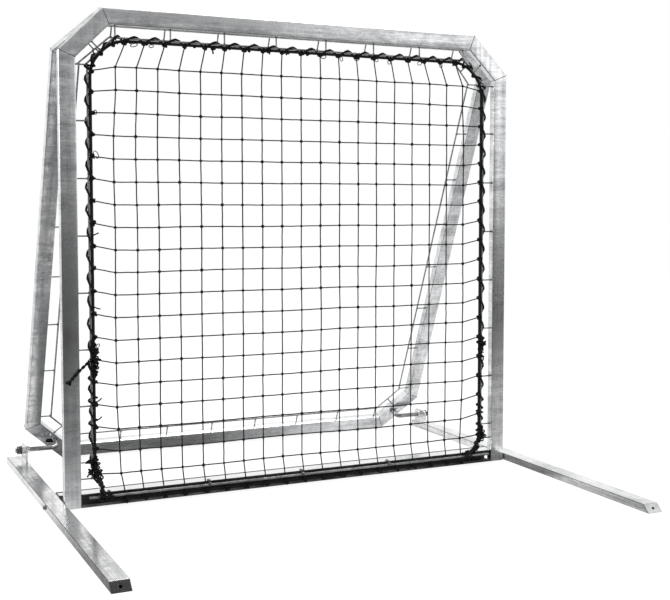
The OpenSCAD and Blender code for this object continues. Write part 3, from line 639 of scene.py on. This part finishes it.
BORDER_PATH = border_loop()
ROD_PATH = [(p.x, p.y) for p in (inset(FRONT_OUTLINE, i, ROD_LINE) for i in range(1, 7))]
border_cord = cord_piece("border_cord_round", [[front_place(*p) for p in BORDER_PATH]], ROUND_BORDER_D, BORDER, 10,
                         closed=True)
ends_on_border = lump_piece("border_hitches", [front_place(*p) for p in net_ends], 6.0, ROPE, seed=8)
border = joined("border_rope", border_cord, ends_on_border)
fitted(border, "base", "cord", "border_cord")


def nearest(path, p):
    """The point of a flat path that lies nearest to p."""
    best = None
    for a, b in zip(path, path[1:]):
        a, b = Vector(a), Vector(b)
        t = max(0.0, min(1.0, (p - a).dot(b - a) / (b - a).length_squared))
        q = a.lerp(b, t)
        if best is None or (q - p).length < (best - p).length:
            best = q
    return best


BORDER_FLAT = [(p[0], p[2]) for p in BORDER_PATH if p[2] > 70]


def lacing_marks():
    """Places where the rope passes under the border cord: at each row or string, and thrice at a corner."""
    rows = [side_end(BORDER_X, LOW_KNOTS + j * MESH_H, j)[2] for j in range(STRINGS)]
    tops = [top_end(string_x(i))[0] for i in range(STRINGS)]
    corners = [inset(FRONT_OUTLINE, i, LACE_LINE) for i in range(2, 6)]
    side, top, low = corners[0].x, corners[1].y, SIDE_ROD_END + 12
    crowded = [LOW_KNOTS + MESH_H * (j + t) for j in (0, 1) for t in (0.33, 0.66)]
    doubled = [LOW_KNOTS + MESH_H * (j + 0.5) for j in (2, 3, 4)]
    right = sorted(z for z in rows + crowded if low + 6 < z < corners[0].y - 6)
    over = sorted((x for x in tops if abs(x) < corners[1].x - 8), reverse=True)
    left = sorted((z for z in rows + doubled if low + 6 < z < corners[0].y - 6), reverse=True)
    result = [Vector((side, low))] + [Vector((side, z)) for z in right]
    result += [corners[0].lerp(corners[1], t) for t in (0.0, 0.42, 0.9)]
    result += [Vector((x, top)) for x in over]
    result += [corners[2].lerp(corners[3], t) for t in (0.1, 0.55, 1.0)]
    return result + [Vector((-side, z)) for z in left] + [Vector((-side, low))]


TURN_STAGES = ((0.0, 0.0), (0.10, 0.25), (0.40, 0.42), (0.52, 0.62), (0.94, 0.80), (1.0, 1.0))


def turned(share):
    """The rope's angle at a share of the way between two marks: quick round the cords, slow along them."""
    for (s0, t0), (s1, t1) in zip(TURN_STAGES, TURN_STAGES[1:]):
        if s0 <= share <= s1:
            return 2 * math.pi * (t0 + (t1 - t0) * (share - s0) / (s1 - s0))


def lacing_path(steps=22):
    """The spiral of the lacing rope round the net rail and the border cord, one turn between two marks."""
    outer, inner = (ROD_D + ROUND_LACING_D) / 2 + 0.2, (ROUND_BORDER_D + ROUND_LACING_D) / 2 + 0.1
    marks = lacing_marks()
    points = []
    for k, (a, b) in enumerate(zip(marks, marks[1:])):
        loose = 1 + 0.5 * noise.noise(Vector((k * 0.7, 3.1, 0)))
        shift = 0.12 * noise.noise(Vector((k * 1.3, 0.4, 5.0)))
        for step in range(steps):
            share = step / steps
            share += shift * math.sin(math.pi * share)
            turn = turned(share)
            p = a.lerp(b, share)
            rod, band = nearest(ROD_PATH, p), nearest(BORDER_FLAT, p)
            inward, half = (band - rod).normalized(), (band - rod).length / 2
            size = inner if math.cos(turn) > 0 else outer * loose
            u = half * max(-1.0, min(1.0, 1.7 * math.cos(turn))) + size * math.cos(turn)
            place_in = (rod + band) / 2 + inward * u
            points.append(front_place(place_in.x, NET_Y + max(size, 7.0) * math.sin(turn), place_in.y))
    return points


lacing = cord_piece("lacing_spiral", [lacing_path()], ROUND_LACING_D, ROPE)


def rope_knot(centre, size, turn):
    """The closed line of a tight overhand knot about centre."""
    spin = Matrix.Rotation(turn[0], 3, "X") @ Matrix.Rotation(turn[1], 3, "Y") @ Matrix.Rotation(turn[2], 3, "Z")
    result = []
    for k in range(36):
        t = 2 * math.pi * k / 36
        p = Vector((math.sin(t) + 2 * math.sin(2 * t), -math.sin(3 * t), math.cos(t) - 2 * math.cos(2 * t)))
        result.append(front_place(*(Vector(centre) + spin @ p * size / 3)))
    return result


def thin_loop(x, z, width, height, turn, steps=18):
    """A small slack loop of thin cord that hangs at the border cord."""
    result = []
    for k in range(steps):
        angle = 2 * math.pi * k / steps
        u, v = width / 2 * math.cos(angle), height / 2 * math.sin(angle)
        result.append(front_place(x + u * math.cos(turn) - v * math.sin(turn), NET_Y - 7 - 2 * math.sin(angle),
                                  z + u * math.sin(turn) + v * math.cos(turn)))
    return result


def strand(*points):
    """A short end of rope through points given in the front frame."""
    return [front_place(*p) for p in rounded_path(points, 12, 4, closed=False)]


# x, z, width, height and turn of each slack loop
SLACK_LOOPS = [(-662, 1064, 12, 24, 0.5), (-664, 489, 8, 14, -0.5), (-545, 1395, 22, 9, 0.25),
               (-492, 1395, 14, 8, 0.1), (75, 1395, 18, 9, 0.1), (138, 1393, 10, 16, 0.5),
               (195, 1395, 18, 9, 0.3), (266, 1395, 12, 9, -0.2), (313, 1392, 11, 14, 0.3),
               (428, 1394, 15, 11, 0.0), (510, 1392, 12, 15, 0.5), (-662, 1190, 7, 13, 0.2)]
# short ends of rope, each through three points
CORNER_ENDS = [[(-602, 12, 1416), (-598, 7, 1404), (-594, 6, 1394)],
               [(-603, 12, 1416), (-610, 6, 1402), (-618, 8, 1392)],
               [(-668, 8, 1372), (-664, 4, 1360), (-656, 6, 1348)],
               [(-660, 6, 1378), (-652, 2, 1368), (-646, 7, 1358)],
               [(-688, 8, 1334), (-682, 3, 1322), (-674, 6, 1310)], [(622, 8, 1408), (628, 3, 1398), (634, 8, 1388)],
               [(-675, 8, 822), (-666, 4, 827), (-658, 4, 830)], [(-675, 8, 318), (-664, 3, 322), (-656, 2, 331)],
               [(-675, 8, 608), (-665, 4, 603), (-656, 4, 601)], [(-675, 8, 262), (-664, 3, 266), (-656, 2, 274)]]
slack = joined("lacing_slack",
               cord_piece("slack_loops", [thin_loop(*given) for given in SLACK_LOOPS], 2.6, ROPE, 6, closed=True),
               cord_piece("corner_ends", [strand(*points) for points in CORNER_ENDS], 4.0, ROPE))


def any_turn(rng):
    """A turn about each axis, up to nearly a quarter either way."""
    return [rng.uniform(-1.5, 1.5) for axis in "XYZ"]


HITCH_TURNS = random.Random(11)
HITCH_SIZE, HITCH_D = 8.6, 4.8
hitches = [rope_knot((x, y - 4, z), HITCH_SIZE, any_turn(HITCH_TURNS)) for x, y, z in net_ends]
hitch_piece = cord_piece("net_hitches", hitches, HITCH_D, ROPE, 6, closed=True)
fitted(joined("lacing_turns", lacing, slack, hitch_piece), "base", "cord", "lacing_rope")


def heap(spots, seed, y=NET_Y - 5):
    """Knots tied on one another at the given places across and up, each with its own size."""
    rng = random.Random(seed)
    return [rope_knot((x, y - rng.uniform(0, 4) - 0.2 * size, z), size, any_turn(rng)) for x, z, size in spots]


# x, z and size of each knot
LEFT_MIDDLE = [(-677, 490, 8), (-680, 479, 9), (-669, 474, 9), (-675, 464, 12), (-682, 453, 10), (-668, 450, 11),
               (-675, 438, 12), (-670, 426, 10), (-679, 423, 9), (-675, 411, 9), (-676, 400, 8)]
TOP_BAND = [(-560, 1404, 7), (-354, 1403, 6), (-298, 1401, 7), (-243, 1405, 6), (-180, 1401, 6), (-113, 1401, 8),
            (-52, 1402, 8), (20, 1402, 6), (560, 1399, 7)]
RIGHT_MIDDLE = [(677, 450, 7), (683, 440, 9), (689, 426, 9), (679, 424, 11), (676, 408, 10), (680, 392, 9),
                (684, 379, 6), (665, 431, 5)]
LEFT_LOW = [(-676, 144, 10), (-688, 136, 8), (-697, 138, 5), (-674, 129, 12), (-682, 120, 10), (-676, 114, 13),
            (-690, 110, 10), (-682, 102, 13), (-668, 104, 12), (-676, 92, 13), (-664, 92, 12), (-667, 80, 12),
            (-662, 68, 11)]
RIGHT_LOW = [(676, 124, 9), (680, 114, 11), (689, 104, 10), (674, 101, 13), (687, 92, 10), (678, 86, 12),
             (669, 78, 11), (664, 68, 10)]
LEFT_FOOT_KNOTS = [(-663, 58, 10), (-661, 46, 11), (-660, 32, 11), (-662, 22, 9), (-640, 42, 8), (-633, 30, 6)]
RIGHT_FOOT_KNOTS = [(658, 58, 10), (648, 50, 10), (638, 45, 11), (626, 42, 10), (614, 39, 9), (602, 36, 8),
                    (590, 34, 6), (644, 36, 6), (646, 26, 5)]
PILE_ENDS = [[(-301, 8, 1402), (-300, 4, 1392), (-298, 6, 1383)],
             [(-690, 8, 134), (-699, 4, 137), (-706, 6, 134)], [(-690, 8, 104), (-698, 3, 99), (-701, 6, 92)],
             [(690, 8, 100), (698, 4, 97), (703, 8, 92)], [(684, 8, 380), (688, 4, 370), (684, 7, 362)],
             [(-682, 8, 492), (-686, 3, 500), (-684, 6, 508)], [(676, 8, 452), (672, 4, 462), (676, 7, 470)]]
piles = heap(LEFT_MIDDLE, 3) + heap(RIGHT_MIDDLE, 4) + heap(LEFT_LOW, 5) + heap(RIGHT_LOW, 6) + heap(TOP_BAND, 9)
pile_ends = [strand(*points) for points in PILE_ENDS]
ties = joined("lacing_ties", cord_piece("knots", piles, LACING_D, ROPE, closed=True),
              cord_piece("knot_ends", pile_ends, LACING_D, ROPE))
fitted(ties, "base", "cord", "lacing_knots")

# the border cord's low ends are tied to the net rod, with an open ring at each side
low_ties = heap(LEFT_FOOT_KNOTS, 7, FRONT_Y + 6) + heap(RIGHT_FOOT_KNOTS, 8, -4)
open_rings = [[front_place(x + 7 * math.cos(t * math.pi / 8), FRONT_Y - 2, z + 9 * math.sin(t * math.pi / 8))
               for t in range(16)] for x, z in ((-643, 29), (622, 26))]
feet = cord_piece("hem_ties", low_ties + open_rings, LACING_D, ROPE, closed=True)
fitted(feet, "base", "cord")


# the loose tail: two strands of the lacing rope laid together, frayed at the end
TAIL = [(-691.5, -3.5, 447), (-697, -6.5, 442), (-704, -7, 435.5), (-712, -6, 428),
        (-720, -5, 420), (-728, -4.4, 411.5), (-736, -4, 402.5), (-744, -4, 393)]
STRAND_D, STRAND_OUT = 5.0, 2.4      # each strand, and how far it lies off the tail's middle line
tail_points = [front_place(*p) for p in TAIL]


def laid_strands(points, count, offset, turns):
    """Lines that run round the middle line through points, count of them."""
    fine = []
    for a, b in zip(points, points[1:]):
        fine += [a.lerp(b, t / 6) for t in range(6)]
    fine.append(points[-1])
    result = []
    for k in range(count):
        line = []
        for m, p in enumerate(fine):
            along = (fine[min(m + 1, len(fine) - 1)] - fine[max(m - 1, 0)]).normalized()
            side = along.cross(Vector((0, 1, 0))).normalized()
            back = along.cross(side)
            angle = 2 * math.pi * (turns * m / (len(fine) - 1) + k / count)
            line.append(p + (side * math.cos(angle) + back * math.sin(angle)) * offset * MM)
        result.append(line)
    return result


def tassel(tip, away, count=18, length=19):
    """Short frayed ends that spread from tip along away."""
    rng = random.Random(5)
    result = []
    for k in range(count):
        spread = Vector((rng.uniform(-0.5, 0.5), rng.uniform(-0.12, 0.05), rng.uniform(-0.5, 0.5)))
        reach = length * rng.uniform(0.75, 1.1) * MM
        middle = tip + (away + spread * 0.5).normalized() * reach * 0.5
        result.append([tip, middle, tip + (away + spread).normalized() * reach])
    return result


tail = cord_piece("loose_tail", laid_strands(tail_points, 2, STRAND_OUT, 2.5), STRAND_D, ROPE)
fitted(tail, "base", "cord", "lacing_tail")
tail_way = (tail_points[-1] - tail_points[-2]).normalized()
tail_end = cord_piece("loose_tail_frayed", tassel(tail_points[-1], tail_way), 2.9, ROPE, 6)
fitted(tail_end, "base", "cord")


# ---------------------------------------------------------------- weld dots on the pins of the net rails

def pin_places(length, count, pitch):
    """Distances along a straight rail of its pins, as in the part's source."""
    middle = [length / 2 + (k - (count - 1) / 2) * pitch for k in range(count)]
    return [PIN_INSET] + middle + [length - PIN_INSET]


def pin_welds(place, outline, i, places):
    """Both ends of the pins along edge i."""
    a, b = Vector(outline[i]), Vector(outline[(i + 1) % len(outline)])
    along = (b - a).normalized()
    inward = Vector((-along.y, along.x))
    result = []
    for s in places:
        for d in (TUBE_FACE, ROD_LINE - ROD_D / 2):
            p = a + along * s + inward * d
            result.append(place(p.x, NET_Y, p.y))
    return result


def edge_length(outline, i):
    return (Vector(outline[(i + 1) % len(outline)]) - Vector(outline[i])).length


side_heights = [SIDE_ROD_END + PIN_D / 2] + [SIDE_PIN_LOW + k * SIDE_PITCH for k in range(7)]
side_drops = [FRAME_H - FRONT_CUT - z for z in side_heights] + [PIN_INSET]
left_welds = pin_welds(front_place, FRONT_OUTLINE, 5, side_drops)
front_welds = pin_welds(front_place, FRONT_OUTLINE, 3, pin_places(edge_length(FRONT_OUTLINE, 3), 6, TOP_PITCH))
front_welds += left_welds + [Vector((-p.x, p.y, p.z)) for p in left_welds]
for i in (2, 4):
    front_welds += pin_welds(front_place, FRONT_OUTLINE, i, [edge_length(FRONT_OUTLINE, i) / 2])
rear_welds = []
for i, count, pitch in ((0, 6, TOP_PITCH), (4, 6, TOP_PITCH), (2, 6, REAR_PITCH), (6, 6, REAR_PITCH)):
    rear_welds += pin_welds(rear_place, REAR_OUTLINE, i, pin_places(edge_length(REAR_OUTLINE, i), count, pitch))
for i in (1, 3, 5, 7):
    rear_welds += pin_welds(rear_place, REAR_OUTLINE, i, [edge_length(REAR_OUTLINE, i) / 2])
for name, points, body in (("front_pin_welds", front_welds, "base"), ("rear_pin_welds", rear_welds, "rear_frame")):
    fitted(lump_piece(name, points, 4.0, WELD_ZINC, seed=12), body, "rods")


# ---------------------------------------------------------------- softened edges of plain CAD pieces

SHARP = math.radians(35)      # faces that meet at a larger angle have a sharp edge between them


def corner_normal(face, vert):
    """The normal at one corner of a face, led by the larger of the faces that meet there smoothly."""
    total = Vector()
    for other in vert.link_faces:
        if other.normal.dot(face.normal) > math.cos(SHARP):
            total += other.normal * other.calc_area()
    return total.normalized() if total.length > 0 else face.normal


def softened(node, body, width, material, slot, second=None, chosen=None, line=None):
    """A copy of a CAD node with its sharp edges rounded; faces that chosen picks get the second material.

    line, a distance in metres along Y, parts the faces there, so that chosen can tell them apart.
    """
    shape = bmesh.new()
    shape.from_mesh(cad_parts[node].data)
    bmesh.ops.remove_doubles(shape, verts=shape.verts, dist=1e-6)
    bmesh.ops.dissolve_limit(shape, angle_limit=math.radians(0.5), verts=shape.verts, edges=shape.edges)
    sharp = [e for e in shape.edges if len(e.link_faces) == 2 and e.calc_face_angle(0.0) > SHARP
             and e.calc_length() > 6 * width * MM]
    bmesh.ops.bevel(shape, geom=sharp, offset=width * MM, segments=2, profile=0.6, affect="EDGES", clamp_overlap=True)
    if line is not None:
        everything = shape.verts[:] + shape.edges[:] + shape.faces[:]
        bmesh.ops.bisect_plane(shape, geom=everything, plane_co=(0, line, 0), plane_no=(0, 1, 0))
    bmesh.ops.triangulate(shape, faces=[f for f in shape.faces if len(f.verts) > 4])
    mesh = bpy.data.meshes.new(node + "_soft")
    shape.normal_update()
    for face in shape.faces:
        face.smooth = True
        face.material_index = int(second is not None and chosen(face))
    normals = [corner_normal(face, vert) for face in shape.faces for vert in face.verts]
    shape.to_mesh(mesh)
    shape.free()
    mesh.normals_split_custom_set(normals)
    mesh.materials.append(material)
    if second:
        mesh.materials.append(second)
    fitted(linked(node + "_soft", mesh), body, slot, node)


def is_rail_edge(face):
    """True for a rounded edge of a rail, which lies square to neither the rail's axes nor its slanted ends."""
    x, y, z = (abs(c) for c in face.normal)
    slant = Vector((END_SLANT, RAIL_H)).normalized()
    flat = max(x, y, z, y * slant.y + z * slant.x, abs(y * slant.x - z * slant.y))
    return flat < 0.985


# painted shade: the rounded edges of the rails and end plates get the near-black zinc, as dark shade lines
for node, width, material in (("foot_rail_left", 1.6, RAIL_ZINC), ("foot_rail_right", 1.6, RAIL_ZINC),
                              ("rail_end_plates", 0.8, PLATE_ZINC)):
    softened(node, "base", width, material, "tube", PAINTED_SHADE_ZINC, is_rail_edge)
CROSS_SHADE_LINE = (CROSS_BACK - 17 + FACE_Y) * MM      # the cross tube is painted shade, with its top painted light in front of a painted shade line along its rear edge
softened("cross_tube", "base", 1.6, PAINTED_SHADE_ZINC, "tube", LIT_TOP_ZINC,
         lambda face: face.normal.z > 0.98 and face.calc_center_median().y < CROSS_SHADE_LINE, CROSS_SHADE_LINE)
# painted shade on the bottom channel, with its top faces painted light
softened("bottom_channel", "base", 1.0, SHADED_CHANNEL_ZINC, "tube", LIT_TOP_ZINC,
         lambda face: face.normal.z > 0.9 and face.calc_center_median().z > (CHANNEL_H - 2) * MM)
softened("net_rod_hooks", "base", 0.6, LOCK_STEEL, "rods")
for side in ("left", "right"):
    softened("rear_corner_bottom_" + side, "rear_frame", 2.2, TUBE_ZINC, "tube")
    softened("lock_bracket_" + side, "base", 0.8, RAIL_ZINC, "hardware")
    softened("lock_nut_" + side, "lock_" + side, 0.8, LOCK_STEEL, "hardware")
    softened("lock_washer_" + side, "lock_" + side, 0.5, LOCK_STEEL, "hardware")


# ---------------------------------------------------------------- finishes of the CAD nodes

FINISHES = ((ROD_ZINC, ("net_rail_", "rear_rail_", "hinge_pins")),
            (HEM_ROD_ZINC, ("net_rod",)),
            (LOCK_ROD_ZINC, ("lock_rod_",)),
            (RAIL_ZINC, ("cross_spigots",)),
            (LOCK_STEEL, ("rail_bolts", "rail_spacers", "rail_nuts", "front_hinge_", "rear_hinge_")))
for material, starts in FINISHES:
    for node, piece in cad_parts.items():
        if node.startswith(starts):
            piece.data.materials.clear()
            piece.data.materials.append(material)


# ---------------------------------------------------------------- floor, world and lamps

WHITE = (1, 1, 1, 1)


def seen_directly(n, rays):
    """1 for camera, glossy and transmission rays, which show the white background."""
    both = n.math("ADD", rays.outputs["Is Glossy Ray"], rays.outputs["Is Transmission Ray"])
    return n.math("ADD", rays.outputs["Is Camera Ray"], both, clamp=True)


def stage_floor():
    """A white floor that keeps a faint shadow; the studio beyond it, in front, mirrors dark."""
    shape = bmesh.new()
    bmesh.ops.create_grid(shape, x_segments=8, y_segments=8, size=30)
    mesh = bpy.data.meshes.new("floor")
    shape.to_mesh(mesh)
    shape.free()
    paint, n, shader = coat("floor white")
    shader.inputs["Base Color"].default_value = (0.86, 0.86, 0.86, 1)
    shader.inputs["Roughness"].default_value = 0.9
    shader.inputs["Specular IOR Level"].default_value = 0.0
    rays = n.add("ShaderNodeLightPath")
    place = n.add("ShaderNodeSeparateXYZ", (0, n.add("ShaderNodeTexCoord").outputs["Object"]))
    x, y = place.outputs[0], place.outputs[1]
    # painted reflection: how bright metal mirrors each place of the floor, in metres from its middle
    near = n.times(n.ramp(x, -1.0, 1.3, 0.20, 0.60), n.ramp(y, -1.7, -0.6, 0.55, 1.0))
    # painted shadow of the frame on the floor, seen only in metal
    under = n.times(n.band(x, -0.76, -0.68, -0.1, 0.5), n.band(y, -0.1, 0.1, 0.8, 1.2))
    distant = n.times(n.ramp(x, 0.8, 1.6, 0.0, 1.0), n.ramp(y, 3.0, 4.5, 0.0, 1.0))
    far = n.math("SUBTRACT", 0.85, n.math("ADD", n.times(under, 0.70), n.times(distant, 0.78)))
    ahead = n.ramp(y, -3.0, -2.4, 0.09, 1.0)
    level = n.times(n.mix(n.ramp(y, -0.5, 0.25, 0.0, 1.0), near, far), ahead)
    # painted contact shadow by the right rail's joint with the upright, seen only in metal
    painted_joint_shadow = n.times(n.band(x, 0.45, 0.6, 0.80, 0.86), n.band(y, -0.32, -0.2, 0.05, 0.15))
    level = n.times(level, n.ramp(painted_joint_shadow, 0.0, 1.0, 1.0, 0.3))
    # white to the camera, apart from a fifth that keeps the shadow and is made up for
    to_camera = rays.outputs["Is Camera Ray"]
    clear = n.add("ShaderNodeEmission", ("Color", WHITE), ("Strength", n.math("MAXIMUM", level, to_camera)))
    share = n.times(seen_directly(n, rays), n.ramp(to_camera, 0.0, 1.0, 1.0, 0.80))
    lit = n.add("ShaderNodeMixShader", (0, share), (1, shader.outputs[0]), (2, clear.outputs[0]))
    extra = n.add("ShaderNodeEmission", ("Color", WHITE), ("Strength", n.times(to_camera, 0.08)))
    total = n.add("ShaderNodeAddShader", (0, lit.outputs[0]), (1, extra.outputs[0]))
    n.link(total.outputs[0], paint.node_tree.nodes["Material Output"].inputs[0])
    mesh.materials.append(paint)
    linked("floor", mesh)


stage_floor()


def studio_world():
    """White all round; only what metal mirrors from the camera's side of the studio is darker."""
    world = bpy.data.worlds.new("studio")
    bpy.context.scene.world = world
    world.use_nodes = True
    n = Nodes(world.node_tree)
    back = world.node_tree.nodes["Background"]
    rays = n.add("ShaderNodeLightPath")
    way = n.add("ShaderNodeSeparateXYZ", (0, n.add("ShaderNodeTexCoord").outputs["Generated"]))
    x, y, z = way.outputs
    # in front of the object: dark near the floor and brighter on the right; elsewhere: open and pale
    rising = n.math("ADD", n.ramp(z, -0.03, 0.0, 0.09, 0.24), n.ramp(z, 0.0, 0.08, 0.0, 0.26))
    left = n.math("SUBTRACT", rising, n.ramp(z, 0.09, 0.125, 0.0, 0.18))
    right = n.math("ADD", n.ramp(z, -0.05, -0.03, 0.12, 0.75), n.ramp(z, 0.0, 0.08, 0.0, 0.45))
    ahead = n.mix(n.ramp(x, 0.34, 0.44, 0.0, 1.0), left, right)
    studio = n.times(n.ramp(y, -0.80, -0.55, 1.0, 0.0), n.ramp(z, 0.35, 0.6, 1.0, 0.0))
    ceiling = n.times(n.ramp(z, 0.70, 0.84, 0.0, 1.0), n.ramp(x, 0.35, 0.5, 1.0, 0.0))
    ceiling = n.times(ceiling, n.ramp(y, -0.15, -0.02, 1.0, 0.0))
    open_side = n.math("SUBTRACT", 0.94, n.times(ceiling, 0.92))
    plain = n.mix(seen_directly(n, rays), (0.8, 0.8, 0.8, 1), n.mix(studio, open_side, ahead))
    n.link(n.mix(rays.outputs["Is Camera Ray"], plain, WHITE), back.inputs["Color"])
    back.inputs["Strength"].default_value = 1.0


studio_world()


def soft_box(name, place, target, size, power):
    """A square area lamp that looks from place at target."""
    data = bpy.data.lights.new(name, "AREA")
    data.shape = "RECTANGLE"
    data.size = data.size_y = size
    data.energy = power
    made = bpy.data.objects.new(name, data)
    made.location = place
    made.rotation_euler = (Vector(target) - Vector(place)).to_track_quat("-Z", "Y").to_euler()
    bpy.context.scene.collection.objects.link(made)


soft_box("left soft box", (-4.2, 0.8, 2.4), (0, 0.2, 0.6), 2.4, 120)
soft_box("top soft box", (1.3, 1.4, 4.2), (0.3, 0.2, 0.0), 2.4, 90)

bpy.context.scene.view_settings.view_transform = "Standard"
